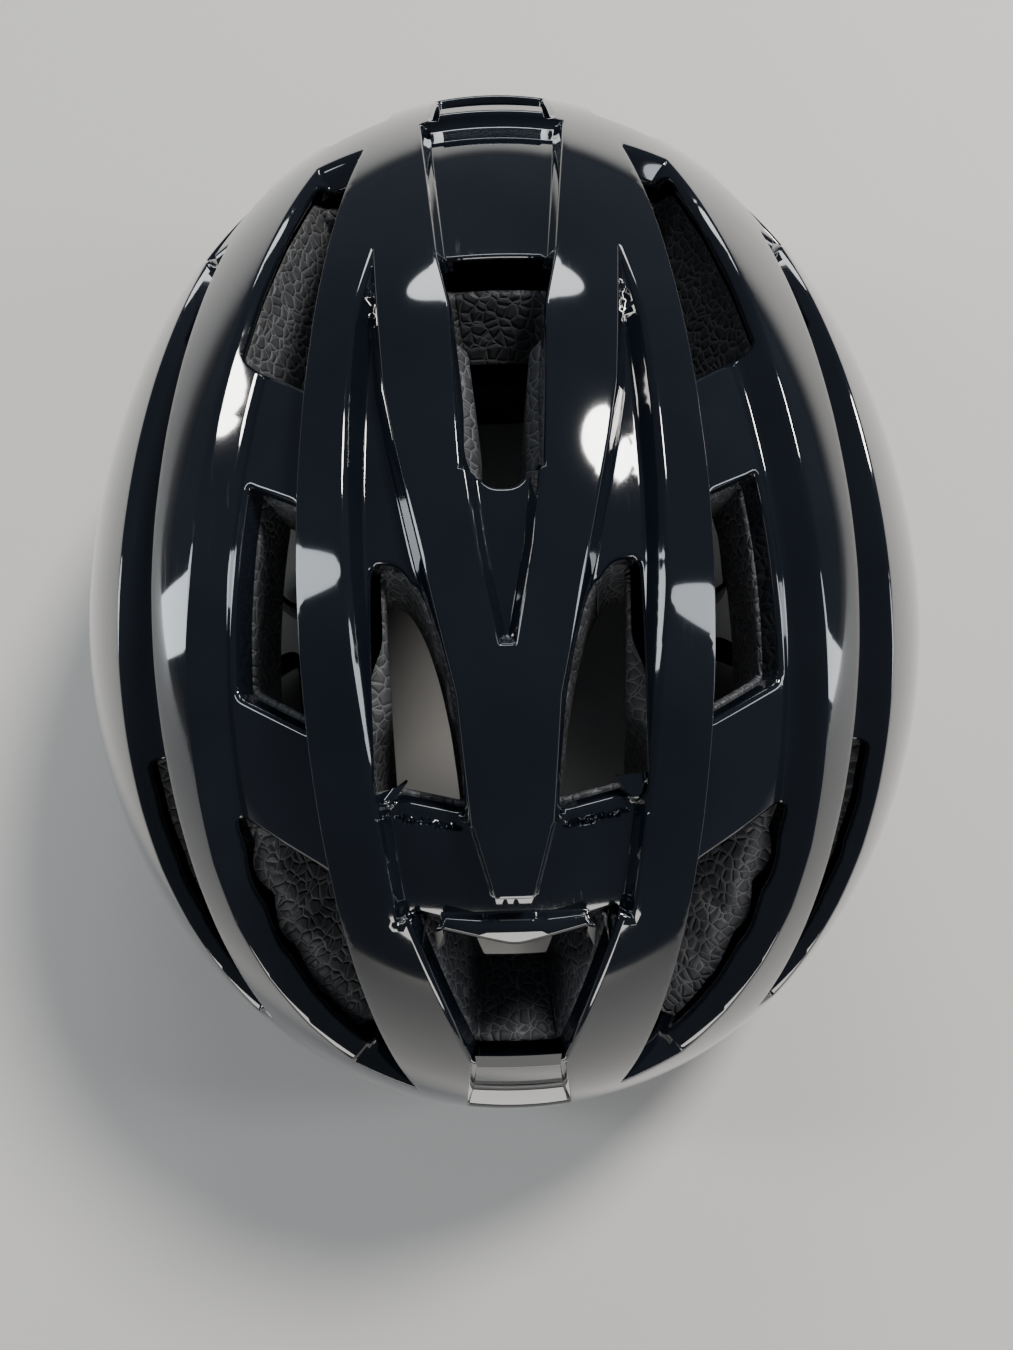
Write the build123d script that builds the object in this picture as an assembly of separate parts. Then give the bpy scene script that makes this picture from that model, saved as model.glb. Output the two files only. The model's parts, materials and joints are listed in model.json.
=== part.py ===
from build123d import *
from math import atan2, cos, degrees, hypot, pi, radians, sin, sqrt
import os

# Road cycling helmet, medium. Millimetres, +Z up, front towards -Y.
# "Right" in a name is the +X side, as seen from in front of the helmet; "left" is the -X side.
# The origin is on the ground, at the middle of the helmet's length and width.

# ---- driving dimensions ----
HALF_WIDTH = 104.0
FRONT_REACH = 122.0
REAR_REACH = 142.0
CROWN_RISE = 102.0
LOW_DROP = 120.0
CENTRE = Vector(0, -10, 48)

SKIN = 1.2
SKIN_GAP = 0.1
SKIN_LIFT = 0.8
SEAM_Z = 34.0
SEAM_GAP = 0.2

HEAD_HALF_WIDTH = 78.0
HEAD_FRONT = 98.0
HEAD_REAR = 106.0
HEAD_RISE = 78.0
HEAD_DROP = 150.0

BRIDGE_DEPTH = 4.0
SIDE_CHANNEL_DEPTH = 7.0
PANEL_DEPTH = 3.0
SHAFT_FOOT_Z = 66.0
TAPER_REACH = 60.0
STATION_STEP = 13.0
FRONT_VENT_OUTER = 15.0
FRONT_VENT_SPAN = (-10.0, -35.0)
LABEL_THICKNESS = 0.4
LABEL_Z = (108.0, 118.0)
FAR = 260.0
DEEP = 150.0

EAR_ARCH_Z = 12.0
BROW_Z = 18.0
NAPE_ARCH_RADIUS = 34.0
NAPE_ARCH_Z = -6.0

PAD_THICKNESS = 5.0
PAD_STANDOFF = 1.4

PIN_Y, PIN_Z = -58.0, 44.0
BAND_X = 68.8
BAND_THICKNESS = 1.6
BAND_HEIGHT = 10.0
PIN_X = 63.3

DIAL_Z = 17.0
DIAL_RADIUS = 13.5
HOUSING_Y = (71.0, 82.0)
HOUSING_HALF_WIDTH = 31.0
PINION_RADIUS = 4.0
PINION_TEETH = 10
DIAL_NOTCHES = 18
DIAL_WIDTH = 6.6
CAP_RADIUS = 8.8
CAP_SEAT = 5.2
SHAFT_RADIUS = 2.0
OCCIPITAL_X = 44.0
OCCIPITAL_Z = 22.0
OCCIPITAL_WIDTH = 22.0
OCCIPITAL_HEIGHT = 19.0
PIVOT_RADIUS = 1.65
PIVOT_INSET = 2.6

WEB_THICKNESS = 1.2
WEB_Z = (1.2, 15.2)
DIVIDER_X = 47.0
BUCKLE_Y = -66.0


# ---- the egg-shaped form and its chart ----
def axes_at(front, up, inset=0.0):
    """Half-axes of the form in one quarter, shortened by an inset."""
    return (
        HALF_WIDTH - inset,
        (FRONT_REACH if front else REAR_REACH) - inset,
        (CROWN_RISE if up else LOW_DROP) - inset,
    )


def quarters(half_axes):
    """A closed egg built from four scaled sphere quarters about CENTRE."""
    ball = Sphere(1)
    whole = None
    for front in (True, False):
        for up in (True, False):
            corner = Pos(0, -1 if front else 1, 1 if up else -1) * Box(4, 2, 2)
            piece = scale(ball & corner, by=half_axes(front, up))
            whole = piece if whole is None else whole + piece
    return Pos(CENTRE) * whole


def outer_form(inset):
    return quarters(lambda front, up: axes_at(front, up, inset))


def head_form(inset):
    return quarters(
        lambda front, up: (
            HEAD_HALF_WIDTH - inset,
            (HEAD_FRONT if front else HEAD_REAR) - inset,
            (HEAD_RISE if up else HEAD_DROP) - inset,
        )
    )


def ray(u, v):
    """Direction from CENTRE of the chart point u, v: degrees away from the crown, sideways and rearwards."""
    tilt = radians(hypot(u, v))
    turn = atan2(v, u)
    wide, long, high = axes_at(v < 0, cos(tilt) > 0)
    return Vector(wide * sin(tilt) * cos(turn), long * sin(tilt) * sin(turn), high * cos(tilt))


def wedge(outline):
    """A pyramid with its tip at CENTRE, whose sides pass through the chart outline."""
    rays = [ray(u, v).normalized() for u, v in outline]
    middle = Vector(0, 0, 0)
    for direction in rays:
        middle = middle + direction
    middle = middle.normalized()
    corners = [CENTRE + direction * (FAR / direction.dot(middle)) for direction in rays]
    faces = [Face(Wire.make_polygon(corners, close=True))]
    for a, b in zip(corners, corners[1:] + corners[:1]):
        faces.append(Face(Wire.make_polygon([CENTRE, a, b], close=True)))
    return Solid(Shell(faces))


def shaft(outline):
    """An upright prism through the chart outline, from inside the head cavity to above the crown."""
    inset = 1 - BRIDGE_DEPTH / CROWN_RISE
    corners = [CENTRE + ray(u, v) * inset for u, v in outline]
    face = Face(Wire.make_polygon([Vector(p.X, p.Y, SHAFT_FOOT_Z) for p in corners], close=True))
    return extrude(face, FAR - SHAFT_FOOT_Z, dir=(0, 0, 1))


def grown(outline, margin):
    """The chart outline, moved outwards by a margin in degrees."""
    area = sum(a[0] * b[1] - b[0] * a[1] for a, b in zip(outline, outline[1:] + outline[:1]))
    side = 1 if area > 0 else -1
    moved = []
    for i, (u, v) in enumerate(outline):
        before = outline[i - 1]
        after = outline[(i + 1) % len(outline)]
        d1 = Vector(u - before[0], v - before[1], 0).normalized()
        d2 = Vector(after[0] - u, after[1] - v, 0).normalized()
        n1 = Vector(d1.Y, -d1.X, 0) * side
        n2 = Vector(d2.Y, -d2.X, 0) * side
        corner = n1 + n2
        corner = corner * (margin / max(0.5, 1 + n1.dot(n2)))
        moved.append((u + corner.X, v + corner.Y))
    return moved


def flipped(outline):
    return [(-u, v) for u, v in outline]


def both_sides(outlines):
    return outlines + [flipped(outline) for outline in outlines]


# ---- rib lines in chart degrees (right-hand side; the left is its mirror image) ----
def rib_line(widest, station, rear_taper, front_taper):
    """Border of a rib: its breadth at any v, widest at the station and tapering over each TAPER_REACH."""
    def breadth(v):
        reach = (v - station) / TAPER_REACH
        return widest - (rear_taper if reach > 0 else front_taper) * reach * reach
    return breadth


def along(line, shift, start, end):
    """Evenly spaced points on a rib line, shifted sideways."""
    steps = max(1, round(abs(end - start) / STATION_STEP))
    stations = [start + (end - start) * i / steps for i in range(steps + 1)]
    return [(line(v) + shift, v) for v in stations]


def between(inner, outer, inner_span, outer_span, margins):
    """Outline between two rib lines, each followed over its own span from rear to front."""
    rear, front = outer_span
    return along(inner, margins[0], *inner_span) + along(outer, -margins[1], front, rear)


def patch(breadths, stations):
    """Four-cornered outline between two breadths and two stations."""
    (near, far), (rear, front) = breadths, stations
    return [(near, rear), (far, rear), (far, front), (near, front)]


def front_vent():
    """Inner edge a quarter oval, outer edge straight."""
    edge = [radians(80 * i / 4) for i in range(4, -1, -1)]
    rear, front = FRONT_VENT_SPAN
    oval = [(FRONT_VENT_OUTER - 2 - 8 * cos(a), front + (rear - front) * sin(a)) for a in edge]
    return [(FRONT_VENT_OUTER, rear)] + oval + [(FRONT_VENT_OUTER, front + 2)]


CROWN_RIB = rib_line(22, -15, 6, 5)
CREASE = rib_line(39, -38, 9, 42)
SECOND_RIB = rib_line(44, -20, 8, 5)
SIDE_EDGE = rib_line(54, -35, 8, 30)

CROWN_VENT = [(4, 12), (4, -2), (2, -5), (-2, -5), (-4, -2), (-4, 12)]
CROWN_SLOPE = [(7, 20), (4, 12), (-4, 12), (-7, 20)]
REAR_PANEL = [(10, 39), (7, 18), (-7, 18), (-10, 39)]
BROW_OPENING = [(13, -44), (0, -47), (-13, -44), (-7, -66), (7, -66)]
TAIL_VENT = [(9, 41), (9, 56), (-9, 56), (-9, 41)]
FRONT_VENT = front_vent()
AFT_TOP_VENT = between(CROWN_RIB, CREASE, (36, 7), (36, 12), (1.5, 1))
FORE_TOP_VENT = between(CROWN_RIB, CREASE, (-3, -27), (1, -22), (1.5, 3.5))
DEEP_FRONT_VENT = between(CROWN_RIB, CREASE, (-41, -74), (-34, -70), (1.5, 2))
SIDE_AFT_VENT = between(SECOND_RIB, SIDE_EDGE, (28, 18), (28, 21), (1.5, 1))
SIDE_MID_VENT = between(SECOND_RIB, SIDE_EDGE, (10, -12), (12, -6), (1.5, 2))
SIDE_FRONT_VENT = between(SECOND_RIB, SIDE_EDGE, (-29, -65), (-27, -65), (1.5, 1))
LOW_AFT_VENT = patch((80, 89), (14, -3))
LOW_FORE_VENT = patch((79, 88), (-11, -30))
TAIL_SIDE_VENT = [(15, 47), (25, 45), (30, 59), (16, 63)]
REAR_SIDE_VENT = [(34, 42), (42, 31), (52, 42), (40, 55)]
TOP_CHANNEL = between(CROWN_RIB, CREASE, (38, -76), (38, -70), (0, 0))
SIDE_CHANNEL = between(SECOND_RIB, SIDE_EDGE, (32, -66), (33, -66), (0, 0))

MIDDLE_VENTS = [CROWN_VENT, BROW_OPENING, TAIL_VENT]
UPRIGHT_VENTS = [FRONT_VENT, FORE_TOP_VENT, AFT_TOP_VENT]
PAIRED_VENTS = [
    DEEP_FRONT_VENT, SIDE_FRONT_VENT, SIDE_MID_VENT, SIDE_AFT_VENT, LOW_AFT_VENT, LOW_FORE_VENT,
    TAIL_SIDE_VENT, REAR_SIDE_VENT,
]


# ---- shells and liner ----
def ground_profile(lift):
    """Everything under the rim line: flat lands at the temples and nape, arches between them."""
    ear = EAR_ARCH_Z + lift
    brow = BROW_Z + lift
    edge = Polyline(
        (-150, brow), (-104, brow), (-66, lift), (-18, lift), (0, ear), (48, ear),
        (70, lift), (112, lift), (150, lift + 10), (150, -DEEP), (-150, -DEEP), close=True,
    )
    face = make_face(edge)
    corners = [p for p in face.vertices() if p.Y > lift - 1 and abs(p.X) < 140]
    face = fillet(corners, 14)
    return extrude(Plane.YZ * face, 150, both=True)


def nape_arch(grow):
    reach = Cylinder(NAPE_ARCH_RADIUS + grow, 100, rotation=(90, 0, 0))
    return Pos(0, 110, NAPE_ARCH_Z) * reach


def ribbed_form(inset, margin):
    """The outer form with the channels between the ribs pressed in."""
    form = outer_form(inset)
    for depth, outlines in (
        (BRIDGE_DEPTH, both_sides([TOP_CHANNEL])),
        (SIDE_CHANNEL_DEPTH, both_sides([SIDE_CHANNEL])),
        (PANEL_DEPTH, [REAR_PANEL]),
        (3 * PANEL_DEPTH, [CROWN_SLOPE]),
    ):
        floor = outer_form(inset + depth)
        for outline in outlines:
            form = form - (wedge(grown(outline, margin)) - floor)
    return form


def cut_vents(body):
    for outline in MIDDLE_VENTS + both_sides(PAIRED_VENTS):
        body = body - wedge(outline)
    for outline in both_sides(UPRIGHT_VENTS):
        body = body - shaft(outline)
    return body


def mirrored(shape):
    return shape.mirror(Plane.YZ)


def layer(form, outer, inner, outline):
    """A patch of even thickness between two insets of a form."""
    return (wedge(outline) & form(outer)) - form(inner)


def strip(tilt_range, turn_range, steps):
    """A chart outline that runs along the rim: tilt from the crown, turn from the right-hand side."""
    turns = [turn_range[0] + (turn_range[1] - turn_range[0]) * i / steps for i in range(steps + 1)]
    low = [(tilt_range[0] * cos(radians(a)), tilt_range[0] * sin(radians(a))) for a in turns]
    high = [(tilt_range[1] * cos(radians(a)), tilt_range[1] * sin(radians(a))) for a in turns]
    return low + high[::-1]


HOOP_INSETS = (11.0, 14.0)
HOOP_Z = (30.0, 35.5)
ANCHOR_RADIUS = 6.0
ANCHOR_FLANGE = 7.5
ANCHOR_X = (68.5, 77.0)
STRAP_ANCHOR_RADIUS = 3.0
FRONT_STRAP_Y, REAR_STRAP_Y = -36.0, 36.0
FRONT_ANCHOR_Z, REAR_ANCHOR_Z = 9.0, 18.0


def x_rod(radius, x0, x1, y, z):
    return Pos((x0 + x1) / 2, y, z) * Cylinder(radius, x1 - x0, rotation=(0, 90, 0))


def y_rod(radius, y0, y1, x, z):
    return Pos(x, (y0 + y1) / 2, z) * Cylinder(radius, y1 - y0, rotation=(90, 0, 0))


def slab(x, y, z):
    """A box from its three (low, high) ranges."""
    return Pos(sum(x) / 2, sum(y) / 2, sum(z) / 2) * Box(x[1] - x[0], y[1] - y[0], z[1] - z[0])


def strap_anchor_pins():
    front = x_rod(STRAP_ANCHOR_RADIUS, 71.4, 81, FRONT_STRAP_Y, FRONT_ANCHOR_Z)
    rear = x_rod(STRAP_ANCHOR_RADIUS, 67.7, 77, REAR_STRAP_Y, REAR_ANCHOR_Z)
    return front, rear


def reinforcement_hoop():
    ring = outer_form(HOOP_INSETS[0]) - outer_form(HOOP_INSETS[1])
    return ring & slab((-150, 150), (-150, 150), HOOP_Z)


def temple_anchor():
    plug = x_rod(ANCHOR_RADIUS, *ANCHOR_X, PIN_Y, PIN_Z)
    flange = x_rod(ANCHOR_FLANGE, 64.6, ANCHOR_X[0], PIN_Y, PIN_Z)
    bore = x_rod(2.25, 60, 74, PIN_Y, PIN_Z)
    return plug + flange - bore


def liner(hoop):
    inset = SKIN + SKIN_GAP
    body = ribbed_form(inset, 0.8)
    body = body - head_form(0)
    body = cut_vents(body) - ground_profile(0) - nape_arch(0)
    body = body - hoop
    for side in (1, -1):
        body = body - x_rod(ANCHOR_RADIUS, *sorted((side * 60, side * ANCHOR_X[1])), PIN_Y, PIN_Z)
        body = body - x_rod(ANCHOR_FLANGE, *sorted((side * 60, side * ANCHOR_X[0])), PIN_Y, PIN_Z)
    for pin in strap_anchor_pins():
        body = body - pin - mirrored(pin)
    return body


def skins():
    skin = ribbed_form(0, 0) - ribbed_form(SKIN, 0.7)
    skin = cut_vents(skin) - ground_profile(SKIN_LIFT) - nape_arch(SKIN_LIFT)
    upper = skin - slab((-DEEP, DEEP), (-DEEP, DEEP), (-DEEP, SEAM_Z + SEAM_GAP / 2))
    lower = skin & slab((-DEEP, DEEP), (-DEEP, DEEP), (-DEEP, SEAM_Z - SEAM_GAP / 2))
    return upper, lower


# ---- comfort pads ----
CROWN_PAD = [(20.6, -34), (25, -34), (25, -6), (22.4, 14), (18.6, 14), (20.6, -8)]
SIDE_PAD = [(26.4, -26), (30.4, -24), (30.4, 4), (26.4, 6)]
BACK_PAD = [(-6, 24), (6, 24), (7, 38), (-7, 38)]
BROW_PAD = strip((77, 94), (-130, -50), 6)
DOT_TURN = 60


def pad(outline):
    return layer(head_form, PAD_STANDOFF, PAD_STANDOFF + PAD_THICKNESS, outline)


def hook_dot(u, v, half=2.2):
    outline = [
        (u + half * cos(radians(a)), v + half * sin(radians(a))) for a in range(0, 360, DOT_TURN)
    ]
    return layer(head_form, 0.1, PAD_STANDOFF - 0.1, outline)


def hook_dots():
    places = [(22.8, -24), (22.6, -2), (28.4, -2), (28.4, -20)]
    spots = both_sides([[place] for place in places])
    dots = [hook_dot(*spot[0]) for spot in spots]
    dots.append(hook_dot(0, 31))
    for turn in (-120, -90, -60):
        dots.append(hook_dot(86 * cos(radians(turn)), 86 * sin(radians(turn))))
    return Compound(dots)


# ---- retention: temple bands, cradle, dial ----
def flat_band(edges, thickness, z):
    """A strip on edge: the plan curve thickened both ways and raised from z[0] to z[1]."""
    outline = offset(Wire(edges), thickness / 2)
    return Pos(0, 0, z[0]) * extrude(make_face(outline.edges()), z[1] - z[0])


def side_band():
    """Flat band from the temple pin, bowing out to the liner, then straight back into the cradle."""
    path = FilletPolyline(
        (PIN_X, PIN_Y - 6), (PIN_X, PIN_Y + 12), (BAND_X, -30), (BAND_X, 2), radius=14,
    )
    z = (PIN_Z - BAND_HEIGHT / 2, PIN_Z + BAND_HEIGHT / 2)
    return flat_band(path.edges(), BAND_THICKNESS, z) - x_rod(2.45, 60, 67, PIN_Y, PIN_Z)


def temple_pin():
    shaft = x_rod(2.2, 62.2, 74, PIN_Y, PIN_Z)
    head = x_rod(4.2, 60.9, 62.2, PIN_Y, PIN_Z)
    return shaft + head


SLEEVE_X = (66.6, 71.0)
SLEEVE_Y = (-6.0, 25.0)
SLEEVE_Z = (PIN_Z - 7.5, PIN_Z + 7.5)
CRADLE_AXES = (75.0, 100.0)
CRADLE_WALL = 3.0


def egg_prism(wide, long):
    face = make_face(Polyline((-1, 0), (1, 0)) + ThreePointArc((1, 0), (0, 1), (-1, 0)))
    solid = extrude(face, 120)
    return Pos(0, CENTRE.Y, -10) * scale(solid, by=(wide, long, 1))


def cradle():
    wide, long = CRADLE_AXES
    ring = egg_prism(wide, long) - egg_prism(wide - CRADLE_WALL, long - CRADLE_WALL)
    profile = Polyline(
        (24, SLEEVE_Z[0]), (24, SLEEVE_Z[1]), (50, 45), (76, 31), (95, 30),
        (95, 5), (70, 6), (50, 22), close=True,
    )
    band = ring & extrude(Plane.YZ * make_face(profile), 120, both=True)
    sleeve = slab(SLEEVE_X, SLEEVE_Y, SLEEVE_Z)
    bore = slab((67.5, 70.1), (SLEEVE_Y[0] - 1, SLEEVE_Y[1] - 3), (SLEEVE_Z[0] + 1.2, SLEEVE_Z[1] - 1.2))
    half = sleeve - bore
    body = band + half + mirrored(half)
    middle = slab((-HOUSING_HALF_WIDTH, HOUSING_HALF_WIDTH), HOUSING_Y, (6, 29))
    front, back = HOUSING_Y
    body = body - slab((-HOUSING_HALF_WIDTH, HOUSING_HALF_WIDTH), (back, 100), (-5, 60)) + middle
    body = body - slab((-28, 28), (front + 2, back - 2.5), (8.5, 25.5))
    body = body - y_rod(2.4, back - 4, back + 4, 0, DIAL_Z)
    body = body - slab((-29, 29), (front - 1, front + 3), (7.5, 27))
    for side in (1, -1):
        body = body + occipital_lugs(side)
    return body


def housing_cover():
    """Inner lid of the dial housing, set into the cradle's front face."""
    return slab((-28.8, 28.8), (HOUSING_Y[0] + 0.2, HOUSING_Y[0] + 2.9), (7.7, 26.8))


DIAL_Y = HOUSING_Y[1] + 0.4
GEAR_Y = (HOUSING_Y[0] + 3.4, HOUSING_Y[1] - 3.0)


def dial_knob():
    """Finger wheel with scalloped edge."""
    wheel = y_rod(DIAL_RADIUS, DIAL_Y, DIAL_Y + DIAL_WIDTH, 0, DIAL_Z)
    notch_reach = DIAL_RADIUS + 0.7
    for i in range(DIAL_NOTCHES):
        turn = 2 * pi * i / DIAL_NOTCHES
        notch_x = notch_reach * cos(turn)
        notch_z = DIAL_Z + notch_reach * sin(turn)
        wheel = wheel - y_rod(1.4, DIAL_Y - 1, DIAL_Y + DIAL_WIDTH + 1, notch_x, notch_z)
    wheel = wheel - y_rod(CAP_RADIUS + 0.2, DIAL_Y + CAP_SEAT, DIAL_Y + DIAL_WIDTH + 1, 0, DIAL_Z)
    return wheel - y_rod(SHAFT_RADIUS, DIAL_Y - 1, DIAL_Y + CAP_SEAT + 0.1, 0, DIAL_Z)


def dial_cap():
    return y_rod(CAP_RADIUS, DIAL_Y + CAP_SEAT, DIAL_Y + CAP_SEAT + 1, 0, DIAL_Z)


def pinion():
    """Shaft and toothed wheel that the dial turns."""
    middle = sum(GEAR_Y) / 2
    width = GEAR_Y[1] - GEAR_Y[0]
    gear = y_rod(PINION_RADIUS - 1, *GEAR_Y, 0, DIAL_Z)
    for i in range(PINION_TEETH):
        turn = 360 / PINION_TEETH * i
        tooth = Pos(0, middle, DIAL_Z) * Rot(0, turn, 0) * Pos(3.2, 0, 0) * Box(1.2, width, 1.0)
        gear = gear + tooth
    return gear + y_rod(SHAFT_RADIUS, GEAR_Y[1], DIAL_Y + CAP_SEAT, 0, DIAL_Z)


def rack(side):
    """Toothed bar above (+1) or below (-1) the pinion."""
    z = sorted((DIAL_Z + side * 4.6, DIAL_Z + side * 7.6))
    x = (-4.0, 24.0) if side > 0 else (-24.0, 4.0)
    bar = slab(x, GEAR_Y, z)
    pitch = 2 * pi * PINION_RADIUS / PINION_TEETH
    middle = sum(GEAR_Y) / 2
    width = GEAR_Y[1] - GEAR_Y[0]
    for i in range(11):
        bar = bar + Pos(x[0] + 1.2 + pitch * i, middle, DIAL_Z + side * 4.4) * Box(1.0, width, 0.6)
    return bar


def occipital_frame(side):
    """Frame on the cradle's inner face: local Y points out through the cradle."""
    wide, long = (half_axis - CRADLE_WALL for half_axis in CRADLE_AXES)
    reach = long * sqrt(1 - (OCCIPITAL_X / wide) ** 2)
    slope = degrees(atan2(long**2 * OCCIPITAL_X, wide**2 * reach))
    return Pos(side * OCCIPITAL_X, CENTRE.Y + reach, OCCIPITAL_Z) * Rot(0, 0, -side * slope)


def occipital_lugs(side):
    lug = Pos(0, -1.2, 0) * Box(5, 7.6, 2.4)
    bore = Cylinder(PIVOT_RADIUS + 0.05, 40)
    lugs = Pos(0, 0, 7.5) * lug + Pos(0, 0, -7.5) * lug
    return occipital_frame(side) * (lugs - Pos(0, -PIVOT_INSET, 0) * bore)


def occipital_pivot(side):
    return occipital_frame(side) * Pos(0, -PIVOT_INSET, 0) * Cylinder(PIVOT_RADIUS, 17.4)


def occipital_pad(side):
    plate = Pos(0, -6.4, 0) * Box(OCCIPITAL_WIDTH, 3.2, OCCIPITAL_HEIGHT)
    plate = fillet(plate.edges().filter_by(Axis.Y), 5)
    barrel = Pos(0, -2.8, 0) * Cylinder(2.7, 11.6) + Pos(0, -4.6, 0) * Box(5.4, 3.6, 11.6)
    bore = Pos(0, -PIVOT_INSET, 0) * Cylinder(PIVOT_RADIUS + 0.2, 60)
    lug_room = Pos(0, -1.6, 0) * Box(6, 8.0, 26) - Box(8, 20, 12)
    return occipital_frame(side) * ((plate - lug_room) + barrel - bore)


# ---- webbing and buckle ----
def front_strap():
    path = FilletPolyline(
        (69.8, FRONT_STRAP_Y - 3), (72.8, -12), (60, -5), (57.5, -32), (50.5, -32), (49, -10.8), radius=3.4,
    )
    return flat_band(path.edges(), WEB_THICKNESS, WEB_Z)


def rear_strap():
    path = FilletPolyline(
        (65.6, REAR_STRAP_Y + 3), (69.8, 14), (60, 6), (57.5, 32), (50.5, 32), (49, 10.8), radius=3.4,
    )
    top = REAR_ANCHOR_Z + 4
    lift = top - WEB_Z[1]
    strap = flat_band(path.edges(), WEB_THICKNESS, (WEB_Z[0], top))
    above = Polyline((-10, WEB_Z[1]), (22, WEB_Z[1]), (30, top), (30, top + 9), (-10, top + 9), close=True)
    low = WEB_Z[0]
    below = Polyline((22, low), (30, low + lift), (60, low + lift), (60, 0), (22, 0), close=True)
    for outline in (above, below):
        strap = strap - Pos(63, 0, 0) * extrude(Plane.YZ * make_face(outline), 30)
    return strap - slab((40, 63), (-10, 60), (WEB_Z[1], top + 9))


def strap_divider():
    """Slotted plate where the front and rear straps of one side meet."""
    body = slab((DIVIDER_X - 4, DIVIDER_X + 4), (-10, 10), (0.6, 17.4))
    body = fillet(body.edges().filter_by(Axis.X), 3)
    window = slab((DIVIDER_X - 5, DIVIDER_X + 5), (-3.5, 3.5), (4, 14))
    return body - window


CHIN_X = DIVIDER_X - 3
TURN_RADIUS = 12.0
BUCKLE_END = 25.0


def chin_path(start_y):
    corner = (CHIN_X, BUCKLE_Y + TURN_RADIUS)
    middle = (
        CHIN_X - TURN_RADIUS * (1 - cos(pi / 4)),
        BUCKLE_Y + TURN_RADIUS * (1 - sin(pi / 4)),
    )
    end = (CHIN_X - TURN_RADIUS, BUCKLE_Y)
    return [
        Line((CHIN_X, start_y), corner),
        ThreePointArc(corner, middle, end),
        Line(end, (BUCKLE_END + WEB_THICKNESS, BUCKLE_Y)),
    ]


def chin_strap():
    return flat_band(chin_path(-10 - WEB_THICKNESS), WEB_THICKNESS, WEB_Z)


def around_chin(y, x_wall, z):
    """A flat sleeve around the straight run of the chin strap."""
    outside = slab((CHIN_X - x_wall, CHIN_X + x_wall), y, z)
    inside = slab((CHIN_X - 0.9, CHIN_X + 0.9), (y[0] - 1, y[1] + 1), (WEB_Z[0] - 0.3, WEB_Z[1] + 0.3))
    return outside - inside


def chin_sheath():
    return around_chin((-50, -14), 2.6, (0.2, 16.4))


def keeper_loop():
    return around_chin((-34, -28), 2.2, (0.2, 16.2))


BUCKLE_THICKNESS = 9.0
BUCKLE_Z = (0.8, 16.0)
BUCKLE_MIDDLE_Z = sum(BUCKLE_Z) / 2
BUCKLE_CORNER = 2.5
ARM_HINGE_X = 4.4
ARM_RISE = (4.4, 7.0)
INSERT_Y = (BUCKLE_Y - 2.4, BUCKLE_Y + 2.4)


def buckle_socket():
    """Two plates joined at the strap end; the plug goes between them."""
    y = (BUCKLE_Y - BUCKLE_THICKNESS / 2, BUCKLE_Y + BUCKLE_THICKNESS / 2)
    body = slab((-BUCKLE_END, 0), y, BUCKLE_Z)
    body = fillet(body.edges().filter_by(Axis.Y), BUCKLE_CORNER)
    room = slab((-19, 1), (BUCKLE_Y - 2.9, BUCKLE_Y + 2.9), (-5, 25))
    return body - room


def buckle_plug():
    """Plug: a base that holds the strap and a centre tongue."""
    y = (BUCKLE_Y - BUCKLE_THICKNESS / 2, BUCKLE_Y + BUCKLE_THICKNESS / 2)
    base = slab((0.4, BUCKLE_END), y, BUCKLE_Z)
    base = fillet(base.edges().filter_by(Axis.Y), BUCKLE_CORNER)
    tongue = slab((-15, 3), INSERT_Y, (BUCKLE_MIDDLE_Z - 1.8, BUCKLE_MIDDLE_Z + 1.8))
    room = slab((-1, 6), (BUCKLE_Y - 2.9, BUCKLE_Y + 2.9), (-5, 5.6))
    return base + tongue - room - Pos(0, 0, 2 * BUCKLE_MIDDLE_Z) * room.mirror(Plane.XY)


def buckle_arm(side):
    """Sprung side arm of the plug, squeezed towards the tongue to let go."""
    low, high = ARM_RISE
    z = sorted((BUCKLE_MIDDLE_Z + side * low, BUCKLE_MIDDLE_Z + side * high))
    tip_z = sorted((BUCKLE_MIDDLE_Z + side * low, BUCKLE_MIDDLE_Z + side * (high + 0.8)))
    arm = slab((-12, ARM_HINGE_X), INSERT_Y, z) + slab((-15, -8), INSERT_Y, tip_z)
    return arm + y_rod((high - low) / 2, *INSERT_Y, ARM_HINGE_X, sum(z) / 2)


def blank_label():
    """Plain sticker on the outer wall of the aft top vent at -X."""
    inset = 1 - BRIDGE_DEPTH / CROWN_RISE
    front, rear = [CENTRE + ray(-u, v) * inset for u, v in AFT_TOP_VENT[-3:-1]]
    along = Vector(front.X - rear.X, front.Y - rear.Y, 0)
    inward = Vector(along.Y, -along.X, 0).normalized() * -LABEL_THICKNESS
    if inward.X < 0:
        inward = inward * -1
    corners = [rear + along * 0.2, rear + along * 0.8]
    corners = corners + [corners[1] + inward, corners[0] + inward]
    face = Face(Wire.make_polygon([Vector(p.X, p.Y, 0) for p in corners], close=True))
    return Pos(0, 0, LABEL_Z[0]) * extrude(face, LABEL_Z[1] - LABEL_Z[0], dir=(0, 0, 1))


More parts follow.
